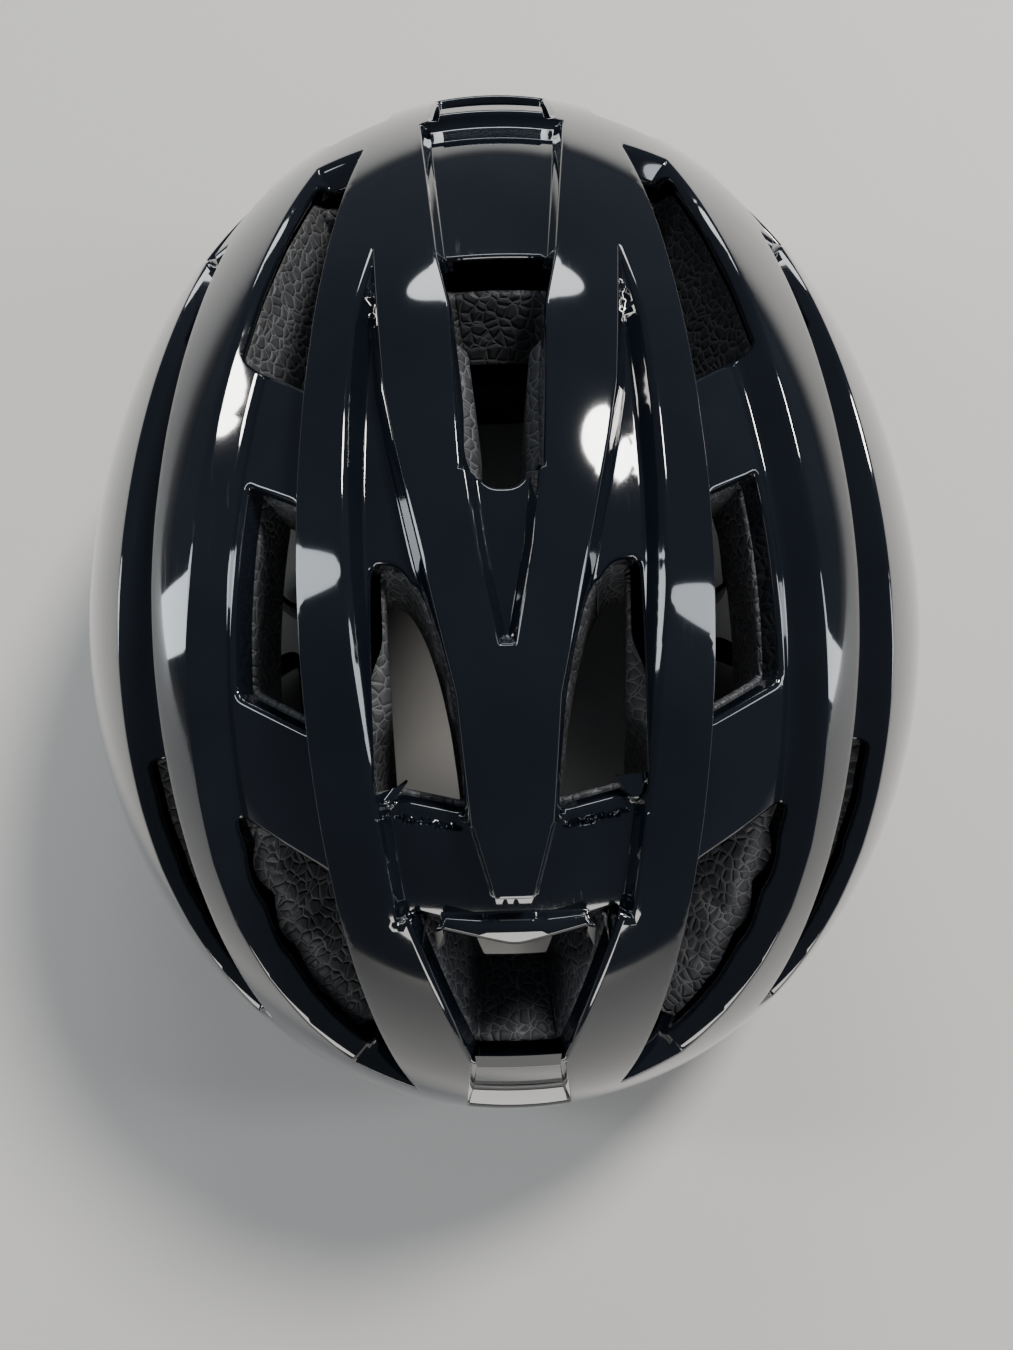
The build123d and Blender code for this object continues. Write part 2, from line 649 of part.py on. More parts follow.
# ---- write every sub-part ----
def write_all():
    hoop = reinforcement_hoop()
    top_shell, lower_rim_shell = skins()
    front_pin, rear_pin = strap_anchor_pins()
    sub_parts = {
        "eps_liner": liner(hoop),
        "top_shell": top_shell,
        "lower_rim_shell": lower_rim_shell,
        "reinforcement_hoop": hoop,
        "brow_pad": pad(BROW_PAD),
        "back_pad": pad(BACK_PAD),
        "hook_dots": hook_dots(),
        "cradle": cradle(),
        "housing_cover": housing_cover(),
        "dial_knob": dial_knob(),
        "dial_cap": dial_cap(),
        "pinion": pinion(),
        "rack_right": rack(1),
        "rack_left": rack(-1),
        "occipital_pivots": Compound([occipital_pivot(1), occipital_pivot(-1)]),
        "occipital_pad_right": occipital_pad(1),
        "occipital_pad_left": occipital_pad(-1),
        "front_strap_anchors": Compound([front_pin, mirrored(front_pin)]),
        "rear_strap_anchors": Compound([rear_pin, mirrored(rear_pin)]),
        "chin_sheath": mirrored(chin_sheath()),
        "keeper_loop": keeper_loop(),
        "buckle_socket": buckle_socket(),
        "buckle_plug": buckle_plug(),
        "buckle_arm_upper": buckle_arm(1),
        "buckle_arm_lower": buckle_arm(-1),
        "blank_label": blank_label(),
    }
    paired = {
        "crown_pad": pad(CROWN_PAD),
        "side_pad": pad(SIDE_PAD),
        "temple_anchor": temple_anchor(),
        "temple_pin": temple_pin(),
        "side_band": side_band(),
        "front_strap": front_strap(),
        "rear_strap": rear_strap(),
        "strap_divider": strap_divider(),
        "chin_strap": chin_strap(),
    }
    for name, shape in paired.items():
        sub_parts[name + "_right"] = shape
        sub_parts[name + "_left"] = mirrored(shape)
    os.makedirs("parts", exist_ok=True)
    for name, shape in sub_parts.items():
        export_step(shape, f"parts/{name}.step")


write_all()
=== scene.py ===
import json
import math

import bpy
import numpy as np
from mathutils import Matrix, Vector, kdtree
from mathutils.geometry import delaunay_2d_cdt


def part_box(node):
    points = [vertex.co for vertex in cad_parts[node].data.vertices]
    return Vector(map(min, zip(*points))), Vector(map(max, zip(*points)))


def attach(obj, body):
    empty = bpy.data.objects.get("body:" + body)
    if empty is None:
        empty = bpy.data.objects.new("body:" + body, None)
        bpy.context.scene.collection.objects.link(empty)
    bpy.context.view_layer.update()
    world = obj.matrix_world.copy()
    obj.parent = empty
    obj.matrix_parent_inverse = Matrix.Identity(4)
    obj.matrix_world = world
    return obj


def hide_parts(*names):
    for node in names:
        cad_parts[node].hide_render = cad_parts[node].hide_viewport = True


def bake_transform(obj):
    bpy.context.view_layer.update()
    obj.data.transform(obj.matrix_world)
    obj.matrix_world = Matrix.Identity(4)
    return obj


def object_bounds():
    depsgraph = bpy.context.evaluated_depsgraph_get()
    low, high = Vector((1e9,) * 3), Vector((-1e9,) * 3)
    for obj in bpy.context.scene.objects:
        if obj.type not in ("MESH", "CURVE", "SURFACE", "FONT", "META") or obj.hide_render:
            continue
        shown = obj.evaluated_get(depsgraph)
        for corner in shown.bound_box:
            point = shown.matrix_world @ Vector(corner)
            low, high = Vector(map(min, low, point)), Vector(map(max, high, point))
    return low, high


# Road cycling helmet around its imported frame. Metres, +Z up, front towards -Y.

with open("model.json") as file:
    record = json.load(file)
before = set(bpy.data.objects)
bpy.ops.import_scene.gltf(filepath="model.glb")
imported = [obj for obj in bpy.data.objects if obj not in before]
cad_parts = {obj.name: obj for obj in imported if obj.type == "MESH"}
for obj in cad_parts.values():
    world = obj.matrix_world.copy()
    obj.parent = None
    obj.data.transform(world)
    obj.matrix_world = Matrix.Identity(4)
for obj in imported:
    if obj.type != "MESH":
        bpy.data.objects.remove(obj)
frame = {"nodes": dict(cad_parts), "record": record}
CAD_LOW, CAD_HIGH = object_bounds()

# ---- the egg-shaped form, worked out from the frame ----
CENTRE_Y, CENTRE_Z = -0.010, 0.048
CENTRE = np.array([0.0, CENTRE_Y, CENTRE_Z])
LOW_DROP = 0.120
OUTER = {
    "wide": (CAD_HIGH[0] - CAD_LOW[0]) / 2,
    "front": CENTRE_Y - CAD_LOW[1],
    "rear": CAD_HIGH[1] - CENTRE_Y,
    "rise": CAD_HIGH[2] - CENTRE_Z,
    "drop": LOW_DROP,
}
HEAD = {"wide": 0.078, "front": 0.098, "rear": 0.106, "rise": 0.078, "drop": 0.150}

DEGREE = 0.0018      # about one chart degree on the outer form, in metres
SEAM_TILT = 96.7     # tilt of the seam between the top shell and the lower rim shell
SKIN_EDGE = 0.0012   # fillet where the skin turns into a vent
SKIN_DEPTH = 0.0055  # how far the skin reaches down a vent's wall
FOAM_LEDGE = 0.0007  # how far the foam stands proud of the skin inside a vent
RING_SAMPLES = 900    # points round the seam
PROBE_STEP = 0.02     # half the chart distance over which a loop's outward direction is measured
HEM_DEPTH = 0.0006    # how far the skin turns in at the rim
HEM_TURNS = (22, 45, 68, 90)
CLEAR_SHARE = 0.55    # share of the grid step that a grid point keeps from fixed lines
RIM_TILT = 100.0     # a loop that reaches past this tilt is the rim, not a vent
GRID_STEP = 0.7
LINE_STEP = 0.5


def egg(points, axes):
    """Places on an egg: chart points are degrees away from the crown, sideways and rearwards."""
    u, v = points[:, 0], points[:, 1]
    tilt = np.radians(np.hypot(u, v))
    turn = np.arctan2(v, u)
    long = np.where(v < 0, axes["front"], axes["rear"])
    high = np.where(np.cos(tilt) > 0, axes["rise"], axes["drop"])
    place = np.stack(
        [
            axes["wide"] * np.sin(tilt) * np.cos(turn),
            long * np.sin(tilt) * np.sin(turn),
            high * np.cos(tilt),
        ],
        axis=1,
    )
    normal = place / np.stack([np.full_like(u, axes["wide"]), long, high], axis=1) ** 2
    normal /= np.linalg.norm(normal, axis=1)[:, None]
    return place + CENTRE, normal


# ---- rib lines in chart degrees, right-hand side; the left is the mirror image ----
TAPER_REACH = 60.0
STATION_STEP = 8.0
FRONT_VENT_OUTER = 15.0
FRONT_VENT_SPAN = (-10.0, -35.0)


def rib_line(widest, station, rear_taper, front_taper):
    """Border of a rib: its breadth at any v, widest at the station and tapering over each TAPER_REACH."""
    def breadth(v):
        reach = (v - station) / TAPER_REACH
        return widest - (rear_taper if reach > 0 else front_taper) * reach * reach
    return breadth


def along(line, shift, start, end):
    """Evenly spaced points on a rib line, shifted sideways."""
    steps = max(1, round(abs(end - start) / STATION_STEP))
    stations = [start + (end - start) * i / steps for i in range(steps + 1)]
    return [(line(v) + shift, v) for v in stations]


def between(inner, outer, inner_span, outer_span, margins):
    """Outline between two rib lines, each followed over its own span from rear to front."""
    rear, front = outer_span
    return along(inner, margins[0], *inner_span) + along(outer, -margins[1], front, rear)


def sloped(points, width):
    """Outline points with the width, in degrees, of the slope on the side that starts there."""
    return [(u, v, width) for u, v in points]


def channel(inner, outer, inner_span, outer_span, widths):
    """A pressed channel between two rib lines, steep on its inner side and easier on its outer one."""
    rear, front = outer_span
    near = sloped(along(inner, 0, *inner_span), widths[0])
    return near + sloped(along(outer, 0, front, rear), widths[1])


def patch(breadths, stations):
    """Four-cornered outline between two breadths and two stations."""
    (near, far), (rear, front) = breadths, stations
    return [(near, rear), (far, rear), (far, front), (near, front)]


def mirrored_half(half):
    """Closed outline across the middle from its right-hand half, listed from rear to front."""
    return half + [(-u, v) for u, v in reversed(half)]


def front_vent():
    """Inner edge a quarter oval, outer edge straight."""
    edge = [math.radians(80 * i / 6) for i in range(6, -1, -1)]
    rear, front = FRONT_VENT_SPAN
    oval = [(FRONT_VENT_OUTER - 2 - 8 * math.cos(a), front + (rear - front) * math.sin(a)) for a in edge]
    return [(FRONT_VENT_OUTER, rear)] + oval + [(FRONT_VENT_OUTER, front + 2)]


CROWN_RIB = rib_line(22, -15, 6, 5)
CREASE = rib_line(39, -38, 9, 42)
SECOND_RIB = rib_line(44, -20, 8, 5)
SIDE_EDGE = rib_line(54, -35, 8, 30)
SCALLOP_EDGE = rib_line(17, -5, 8, 8)

CROWN_VENT = mirrored_half([(7, 18), (5, 12), (4, 3), (4, -2), (2, -5)])
BROW_OPENING = [(13, -44), (0, -47), (-13, -44), (-7, -66), (7, -66)]
TAIL_VENT = [(9, 41), (9, 56), (-9, 56), (-9, 41)]
FRONT_VENT = front_vent()
AFT_TOP_VENT = between(CROWN_RIB, CREASE, (36, 7), (36, 12), (1.5, 1))
FORE_TOP_VENT = between(CROWN_RIB, CREASE, (-3, -27), (1, -22), (1.5, 3.5))
DEEP_FRONT_VENT = between(CROWN_RIB, CREASE, (-41, -74), (-34, -70), (1.5, 2))
SIDE_AFT_VENT = between(SECOND_RIB, SIDE_EDGE, (28, 18), (28, 21), (1.5, 1))
SIDE_MID_VENT = between(SECOND_RIB, SIDE_EDGE, (10, -12), (12, -6), (1.5, 2))
SIDE_FRONT_VENT = between(SECOND_RIB, SIDE_EDGE, (-29, -65), (-27, -65), (1.5, 1))
LOW_AFT_VENT = patch((80, 89), (14, -3))
LOW_FORE_VENT = patch((79, 88), (-11, -30))
TAIL_SIDE_VENT = [(15, 47), (25, 45), (30, 59), (16, 63)]
REAR_SIDE_VENT = [(34, 42), (42, 31), (52, 42), (40, 55)]


def flipped(outline):
    return [(-u, v) for u, v in reversed(outline)]


MIDDLE_VENTS = [(CROWN_VENT, 1.6), (BROW_OPENING, 1.2), (TAIL_VENT, 2.0)]
PAIRED_VENTS = [
    (FRONT_VENT, 1.6), (FORE_TOP_VENT, 1.6), (AFT_TOP_VENT, 1.2), (DEEP_FRONT_VENT, 2.0),
    (SIDE_FRONT_VENT, 1.6), (SIDE_MID_VENT, 1.4), (SIDE_AFT_VENT, 1.0), (LOW_AFT_VENT, 2.0),
    (LOW_FORE_VENT, 2.0), (TAIL_SIDE_VENT, 2.0), (REAR_SIDE_VENT, 2.0),
]

UPRIGHT_SHARES = [(FRONT_VENT, 1.0), (FORE_TOP_VENT, 0.5), (AFT_TOP_VENT, 0.4)]

# A pressed area: outline corners with the slope width, in degrees, of the side that starts there.
# A width of 0 means that side has no slope.
TOP_CHANNEL = channel(CROWN_RIB, CREASE, (38, -76), (38, -70), (1.3, 3))
SIDE_CHANNEL = channel(SECOND_RIB, SIDE_EDGE, (32, -66), (33, -66), (1.6, 2.4))
TONGUE = sloped([(4, -3), (3, -10), (1, -19), (-1, -19), (-3, -10)], 1.2) + [(-4, -3, 0)]
REAR_PANEL = [(10, 41, 1.3), (7, 18, 0), (-7, 18, 1.3), (-10, 41, 0)]
CROWN_SIDE = [
    (7, 18, 1.6), (5.5, 12, 1.6), (4.5, -3, 0), (-4.5, -3, 1.6), (-5.5, 12, 1.6), (-7, 18, 0),
]
SCALLOP = (
    sloped([(14, 21), (12, 5), (8, -11), (5, -23)], 2) + [(4, -36, 0)]
    + sloped(along(SCALLOP_EDGE, 0, -34, 12), 2.2)
)
BROW_PANEL = [
    (15, -33, 1.3), (14, -45, 0), (-14, -45, 1.3), (-15, -33, 0),
    (-4, -35, 1), (-2, -42, 1), (2, -42, 1), (4, -35, 0),
]
FRONT_LIP = [(7, -66, 1.2), (10, -85, 3), (-10, -85, 1.2), (-7, -66, 0)]
PAIRED_PRESSINGS = [(TOP_CHANNEL, 6.0), (SIDE_CHANNEL, 6.5), (SCALLOP, 4.2)]
MIDDLE_PRESSINGS = [(TONGUE, 3.2), (REAR_PANEL, 3.0), (CROWN_SIDE, 5.5), (BROW_PANEL, 3.6), (FRONT_LIP, 4.0)]
SLOPE_ROUNDING = 0.28


def flipped_pressing(outline):
    """The mirror image, with each slope width kept on its own side."""
    count = len(outline)
    return [(-outline[i][0], outline[i][1], outline[(i - 1) % count][2]) for i in reversed(range(count))]


PRESSINGS = MIDDLE_PRESSINGS + PAIRED_PRESSINGS + [
    (flipped_pressing(outline), depth) for outline, depth in PAIRED_PRESSINGS
]
VENTS = MIDDLE_VENTS + PAIRED_VENTS + [(flipped(outline), corner) for outline, corner in PAIRED_VENTS]


# ---- plane geometry in the chart ----
def rounded(outline, corner, step=LINE_STEP):
    """A closed line through the outline with its corners rounded, in even steps."""
    line = []
    count = len(outline)
    for i in range(count):
        here = np.array(outline[i][:2], float)
        before = np.array(outline[i - 1][:2], float)
        after = np.array(outline[(i + 1) % count][:2], float)
        to_before, to_after = before - here, after - here
        near = min(corner, 0.45 * np.linalg.norm(to_before))
        far = min(corner, 0.45 * np.linalg.norm(to_after))
        start = here + to_before / np.linalg.norm(to_before) * near
        end = here + to_after / np.linalg.norm(to_after) * far
        for t in np.linspace(0, 1, 7):
            line.append((1 - t) ** 2 * start + 2 * t * (1 - t) * here + t * t * end)
    return evenly(np.array(line), step)


def evenly(line, step):
    closed = np.vstack([line, line[:1]])
    lengths = np.r_[0, np.cumsum(np.linalg.norm(np.diff(closed, axis=0), axis=1))]
    count = max(8, int(round(lengths[-1] / step)))
    at = np.linspace(0, lengths[-1], count, endpoint=False)
    return np.stack([np.interp(at, lengths, closed[:, k]) for k in (0, 1)], axis=1)


def inside(points, line):
    """Which points lie inside a closed line."""
    result = np.zeros(len(points), bool)
    x, y = points[:, 0], points[:, 1]
    x0, y0 = line[-1]
    for x1, y1 in line:
        crosses = (y1 > y) != (y0 > y)
        if crosses.any():
            with np.errstate(divide="ignore", invalid="ignore"):
                at = (x0 - x1) * (y - y1) / (y0 - y1) + x1
            result ^= crosses & (x < at)
        x0, y0 = x1, y1
    return result


def distance_to(points, a, b):
    a, b = np.array(a[:2], float), np.array(b[:2], float)
    along = np.clip(((points - a) @ (b - a)) / ((b - a) @ (b - a)), 0, 1)
    return np.linalg.norm(points - a - along[:, None] * (b - a), axis=1)


def slope(share):
    """0 at the rim of a pressing, 1 at its floor, rounded at both ends."""
    s, r = np.clip(share, 0, 1), SLOPE_ROUNDING
    rise = np.where(s < r, s * s / (2 * r), np.where(s > 1 - r, 1 - r - (1 - s) ** 2 / (2 * r), s - r / 2))
    return rise / (1 - r)


def relief(points):
    """Height of the skin over the plain form, in metres."""
    depth = np.zeros(len(points))
    for outline, deep in PRESSINGS:
        within = inside(points, [p[:2] for p in outline])
        if not within.any():
            continue
        near = points[within]
        share = np.full(len(near), 9.0)
        for a, b in zip(outline, outline[1:] + outline[:1]):
            if a[2]:
                share = np.minimum(share, distance_to(near, a, b) / a[2])
        depth[within] = np.maximum(depth[within], deep * slope(share))
    tilt = np.hypot(points[:, 0], points[:, 1])
    groove = np.clip(1 - np.abs(tilt - SEAM_TILT) / 0.45, 0, 1)
    return -(depth + 0.5 * groove) / 1000


def skin(points, height=0.0):
    """Places and true normals on the pressed skin."""
    def place(p):
        base, normal = egg(p, OUTER)
        return base + normal * (relief(p) + height)[:, None]
    small = 0.04
    east = place(points + (small, 0)) - place(points - (small, 0))
    north = place(points + (0, small)) - place(points - (0, small))
    normal = np.cross(east, north)
    normal /= np.linalg.norm(normal, axis=1)[:, None]
    return place(points), normal


# ---- the rim line ----
RIM_SAMPLES = 720
REST_LIFT = 0.0009


def rim_height(x, y):
    """The rim's height: flat lands at the temples and the nape, arches between them."""
    line_y = np.array([-0.150, -0.104, -0.066, -0.018, 0.0, 0.048, 0.070, 0.112, 0.150])
    line_z = np.array([0.018, 0.018, 0.0, 0.0, 0.012, 0.012, 0.0, 0.0, 0.010])
    blur = np.linspace(-0.007, 0.007, 9)
    height = np.mean([np.interp(y + d, line_y, line_z) for d in blur], axis=0)
    height = np.where(height < 0.0006, 0.0, height)
    arch = np.sqrt(np.clip(0.034**2 - x**2, 0, None)) - 0.006
    return np.where(y > 0.04, np.maximum(height, arch), height)


def rim_line(axes, lift):
    """Chart points of the rim, one for each step round the helmet."""
    turn = np.linspace(0, 2 * math.pi, RIM_SAMPLES, endpoint=False)
    low, high = np.full(RIM_SAMPLES, 60.0), np.full(RIM_SAMPLES, 128.0)
    for _ in range(40):
        tilt = (low + high) / 2
        place, _ = egg(np.stack([tilt * np.cos(turn), tilt * np.sin(turn)], axis=1), axes)
        above = place[:, 2] > rim_height(place[:, 0], place[:, 1]) + lift
        low, high = np.where(above, tilt, low), np.where(above, high, tilt)
    return np.stack([low * np.cos(turn), low * np.sin(turn)], axis=1)


# ---- meshes ----
def triangulated(border, holes, lines, step):
    """Triangles over the chart inside border, clear of the holes, with edges along every line."""
    fixed, edges = [], []
    for line in [border, *holes, *lines]:
        first = len(fixed)
        fixed.extend(map(tuple, line))
        edges.extend((first + i, first + (i + 1) % len(line)) for i in range(len(line)))
    tree = kdtree.KDTree(len(fixed))
    for i, p in enumerate(fixed):
        tree.insert((p[0], p[1], 0), i)
    tree.balance()
    reach = float(np.abs(border).max()) + step
    rows = np.arange(-reach, reach, step * math.sqrt(3) / 2)
    grid = []
    for i, v in enumerate(rows):
        u = np.arange(-reach, reach, step) + (i % 2) * step / 2
        grid.append(np.stack([u, np.full_like(u, v)], axis=1))
    grid = np.concatenate(grid)
    grid = grid[inside(grid, border)]
    for hole in holes:
        grid = grid[~inside(grid, hole)]
    grid = [p for p in grid if tree.find((p[0], p[1], 0))[2] > CLEAR_SHARE * step]
    spots = [Vector(p) for p in fixed] + [Vector(p) for p in grid]
    flat, _, faces, _, _, _ = delaunay_2d_cdt(spots, edges, [], 0, 1e-5, False)
    flat = np.array([tuple(p) for p in flat])
    faces = np.array([f[:3] for f in faces])
    middle = flat[faces].mean(axis=1)
    keep = inside(middle, border)
    for hole in holes:
        keep &= ~inside(middle, hole)
    return flat, faces[keep]


def open_loops(faces):
    """Loops of edges that belong to one face only, in order, with the material on the left."""
    once = {}
    for a, b, c in faces:
        for edge in ((a, b), (b, c), (c, a)):
            once[edge] = True
    after = {a: b for a, b in once if (b, a) not in once}
    loops = []
    while after:
        start, here = next(iter(after.items()))
        loop = [start]
        while here != start:
            loop.append(here)
            here = after.pop(here)
        after.pop(start, None)
        loops.append(np.array(loop))
    return loops


def outward(line):
    """Unit normals of a closed line, on its right-hand side."""
    along = np.roll(line, -1, axis=0) - np.roll(line, 1, axis=0)
    along /= np.linalg.norm(along, axis=1)[:, None]
    return np.stack([along[:, 1], -along[:, 0]], axis=1)


def strip_faces(first, second):
    """Quads between two rings of vertex numbers."""
    return [
        (first[i], second[i], second[(i + 1) % len(first)], first[(i + 1) % len(first)])
        for i in range(len(first))
    ]


def new_object(name, places, faces, normals=None):
    used = np.unique(np.concatenate([np.asarray(f) for f in faces]))
    number = np.full(len(places), -1)
    number[used] = np.arange(len(used))
    mesh = bpy.data.meshes.new(name)
    mesh.from_pydata(places[used].tolist(), [], [[int(number[i]) for i in f] for f in faces])
    mesh.polygons.foreach_set("use_smooth", np.ones(len(mesh.polygons), bool))
    mesh.update()
    if normals is not None:
        mesh.normals_split_custom_set_from_vertices(normals[used].tolist())
    piece = bpy.data.objects.new(name, mesh)
    bpy.context.scene.collection.objects.link(piece)
    return piece


def shell_mesh():
    """The glossy skin with its vent edges: places, faces, normals, and the vents' foam lines."""
    border = rim_line(OUTER, REST_LIFT + 0.0016)
    holes = [rounded(outline, corner) for outline, corner in VENTS]
    turn = np.linspace(0, 2 * math.pi, RING_SAMPLES, endpoint=False)
    ring = np.stack([np.cos(turn), np.sin(turn)], axis=1)
    lines = [ring * (SEAM_TILT + d) for d in (-0.45, 0, 0.45)]
    for outline, _ in PRESSINGS:
        lines.extend(slope_lines(outline))
    flat, faces = triangulated(border, holes, lines, GRID_STEP)
    places, normals = skin(flat)
    places, normals, faces = list(places), list(normals), [tuple(f) for f in faces]
    foam_lines = []
    for loop in open_loops(faces):
        line = flat[loop]
        is_rim = np.hypot(*line.T).max() > RIM_TILT
        side = outward(line)
        base, normal = skin(line)
        away = skin(line + side * PROBE_STEP)[0] - skin(line - side * PROBE_STEP)[0]
        away -= (away * normal).sum(axis=1)[:, None] * normal
        away /= np.linalg.norm(away, axis=1)[:, None]
        previous = loop
        for angle in np.radians(HEM_TURNS):
            at = base + away * SKIN_EDGE * math.sin(angle) - normal * SKIN_EDGE * (1 - math.cos(angle))
            first = len(places)
            places.extend(at)
            normals.extend(normal * math.cos(angle) + away * math.sin(angle))
            ring = np.arange(first, first + len(loop))
            faces.extend(strip_faces(previous, ring))
            previous = ring
        depth = HEM_DEPTH if is_rim else SKIN_DEPTH - SKIN_EDGE
        first = len(places)
        places.extend(at - normal * depth)
        normals.extend(away)
        ring = np.arange(first, first + len(loop))
        faces.extend(strip_faces(previous, ring))
        if not is_rim:
            foam_lines.append(line + side * (SKIN_EDGE / DEGREE))
    return np.array(places), faces, np.array(normals), flat, foam_lines


def slope_lines(outline):
    """Lines along a pressing's slopes: its edge, and where the slope straightens and ends."""
    corners = [np.array(p[:2], float) for p in outline]
    widths = [p[2] for p in outline]
    area = sum(a[0] * b[1] - b[0] * a[1] for a, b in zip(corners, corners[1:] + corners[:1]))
    sign = 1 if area > 0 else -1
    lines = []
    bend = SLOPE_ROUNDING
    for share in (0.0, 0.5 * bend, bend, 1 - bend, 1 - 0.5 * bend, 1.0):
        moved = []
        for i, here in enumerate(corners):
            before, after = corners[i - 1], corners[(i + 1) % len(corners)]
            d1 = (here - before) / np.linalg.norm(here - before)
            d2 = (after - here) / np.linalg.norm(after - here)
            n1, n2 = np.array([-d1[1], d1[0]]) * sign, np.array([-d2[1], d2[0]]) * sign
            w1, w2 = widths[i - 1] * share, widths[i] * share
            system = np.array([n1, n2])
            if abs(np.linalg.det(system)) > 0.05:
                moved.append(here + np.linalg.solve(system, np.array([w1, w2])))
            else:
                moved.append(here + (n1 * w1 + n2 * w2) / 2)
        lines.append(evenly(np.array(moved), LINE_STEP))
    return lines


def under(points):
    """Chart degrees, on the head's egg, of the places straight under points of the skin."""
    place = skin(points)[0] - CENTRE
    long = np.where(place[:, 1] < 0, HEAD["front"], HEAD["rear"])
    across, along_y = place[:, 0] / HEAD["wide"], place[:, 1] / long
    tilt = np.degrees(np.arcsin(np.clip(np.hypot(across, along_y), 0, 1)))
    turn = np.arctan2(along_y, across)
    return np.stack([tilt * np.cos(turn), tilt * np.sin(turn)], axis=1)


def upright_share(line):
    """How far the walls of a vent lean from the chart's rays towards upright."""
    middle = (abs(line[:, 0].mean()), line[:, 1].mean())
    for outline, share in UPRIGHT_SHARES:
        if inside(np.array([middle]), outline)[0]:
            return share
    return 0.0


def foam_mesh(foam_lines):
    """The foam's walls in the vents, its head cavity and its flat rim."""
    ledge = FOAM_LEDGE / DEGREE
    places, faces, holes = [], [], []
    for line in foam_lines:
        side = outward(line)
        inner = line + side * ledge
        share = upright_share(line)
        foot = inner * (1 - share) + under(inner) * share if share else inner
        holes.append(foot[::-1])
        base, normal = skin(line - side * 0.1)
        lip_base, lip_normal = skin(inner)
        cavity, _ = egg(foot, HEAD)
        top = base - normal * (SKIN_DEPTH - 0.0008)
        lip = lip_base - lip_normal * SKIN_DEPTH
        rings = [top, top * 0.35 + lip * 0.65 + lip_normal * 0.0004]
        rings.extend(lip + (cavity - lip) * part for part in np.linspace(0.03, 1, 7))
        previous = None
        for at in rings:
            first = len(places)
            places.extend(at)
            ring = np.arange(first, first + len(line))
            if previous is not None:
                faces.extend(strip_faces(previous, ring))
            previous = ring
    border = rim_line(HEAD, 0.0)
    flat, cavity_faces = triangulated(border, holes, [], 2.0)
    first = len(places)
    places.extend(egg(flat, HEAD)[0])
    faces.extend((c + first, b + first, a + first) for a, b, c in cavity_faces)
    outer_edge, normal = egg(rim_line(OUTER, REST_LIFT + 0.0020), OUTER)
    outer_foot, _ = egg(rim_line(OUTER, 0.0), OUTER)
    inner_foot, _ = egg(border, HEAD)
    previous = None
    rings = [outer_edge - normal * 0.0012, outer_foot - normal * 0.0022]
    rings.extend(rings[1] + (inner_foot - rings[1]) * share for share in np.linspace(0.1, 1, 8))
    for at in rings:
        at = at.copy()
        at[:, 2] = np.maximum(at[:, 2], 0.0)
        first = len(places)
        places.extend(at)
        ring = np.arange(first, first + RIM_SAMPLES)
        if previous is not None:
            faces.extend(strip_faces(previous, ring))
        previous = ring
    return np.array(places), faces


# ---- materials ----
def material(name, colour, roughness, **sockets):
    """A new node material and its shader."""
    made = bpy.data.materials.new(name)
    made.use_nodes = True
    shader = made.node_tree.nodes["Principled BSDF"]
    shader.inputs["Base Color"].default_value = (*colour, 1)
    shader.inputs["Roughness"].default_value = roughness
    for socket, value in sockets.items():
        shader.inputs[socket.replace("_", " ")].default_value = value
    return made, shader


class Nodes:
    """Short calls for adding and joining shader nodes."""

    def __init__(self, made):
        self.tree = made.node_tree

    def add(self, kind, **settings):
        node = self.tree.nodes.new("ShaderNode" + kind)
        for key, value in settings.items():
            if hasattr(node, key):
                setattr(node, key, value)
            else:
                node.inputs[key.replace("_", " ")].default_value = value
        return node

    def join(self, source, target):
        self.tree.links.new(source, target)

    def ramp(self, source, stops):
        node = self.add("ValToRGB")
        elements = node.color_ramp.elements
        while len(elements) < len(stops):
            elements.new(0.5)
        for element, (at, value) in zip(elements, stops):
            element.position = at
            element.color = (*value, 1) if isinstance(value, tuple) else (value, value, value, 1)
        self.join(source, node.inputs["Fac"])
        return node.outputs["Color"]

    def bump(self, shader, height, strength, distance):
        node = self.add("Bump", Strength=strength, Distance=distance)
        self.join(height, node.inputs["Height"])
        self.join(node.outputs["Normal"], shader.inputs["Normal"])
        return node


def gloss_material():
    """Black polycarbonate with hairline scratches and a trace of dust."""
    made, shader = material(
        "gloss_shell", (0.005, 0.007, 0.011), 0.08, Coat_Weight=1.0, Coat_Roughness=0.03, Coat_IOR=1.5
    )
    n = Nodes(made)
    place = n.add("TexCoord").outputs["Object"]
    stretch = n.add("Mapping", Rotation=(0.3, 0.2, 0.7), Scale=(900, 60, 300))
    n.join(place, stretch.inputs["Vector"])
    hair = n.add("TexNoise", Scale=1.0, Detail=2.0, Roughness=0.6)
    n.join(stretch.outputs["Vector"], hair.inputs["Vector"])
    smudge = n.add("TexNoise", Scale=26.0, Detail=3.0)
    n.join(place, smudge.inputs["Vector"])
    marks = n.ramp(hair.outputs["Fac"], [(0.60, 0.0), (0.72, 1.0)])
    mix = n.add("MixRGB", blend_type="MULTIPLY")
    mix.inputs["Fac"].default_value = 1.0
    n.join(marks, mix.inputs["Color1"])
    n.join(n.ramp(smudge.outputs["Fac"], [(0.5, 0.0), (0.7, 1.0)]), mix.inputs["Color2"])
    n.join(n.ramp(mix.outputs["Color"], [(0.0, 0.06), (1.0, 0.22)]), shader.inputs["Roughness"])
    n.join(n.ramp(smudge.outputs["Fac"], [(0.3, (0.004, 0.006, 0.010)), (0.8, (0.009, 0.012, 0.018))]),
           shader.inputs["Base Color"])
    return made


